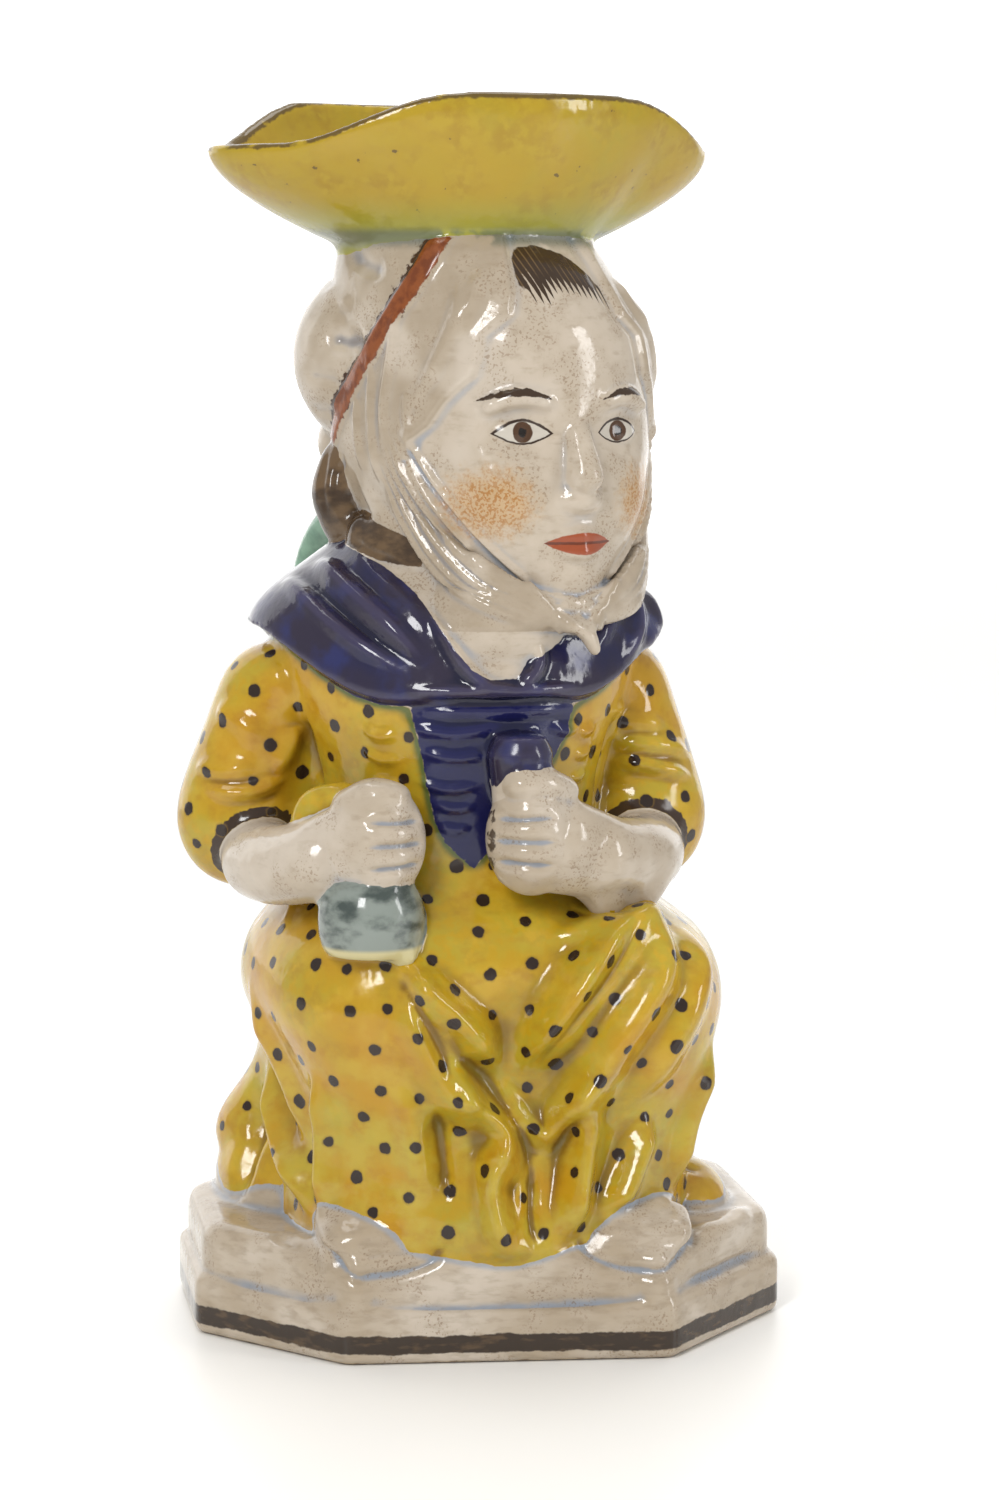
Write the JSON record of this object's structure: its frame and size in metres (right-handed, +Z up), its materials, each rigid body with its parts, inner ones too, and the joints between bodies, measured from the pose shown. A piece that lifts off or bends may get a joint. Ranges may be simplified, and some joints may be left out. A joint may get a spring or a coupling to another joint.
{
  "type": "toby jug",
  "caption": "Glazed pottery jug in the form of a seated lady holding a bottle and a beaker; her cocked hat is the open mouth and a strap handle runs down her back.",
  "frame": {"origin": "on the flat underside, under the middle of the plinth", "axes": "+Z up from the underside to the hat; the seated lady and the plinth's long front side face -Y; +X is to the right of someone looking at her from the front"},
  "size_m": [0.1246, 0.1199, 0.256],
  "materials": {
    "lead_glazed_earthenware": "glossy lead glaze over painted metal-oxide colours: yellow dress and hat, cobalt shawl, cream skin and plinth"
  },
  "bodies": {
    "root": {"jug": "lead_glazed_earthenware"}
  },
  "joints": []
}
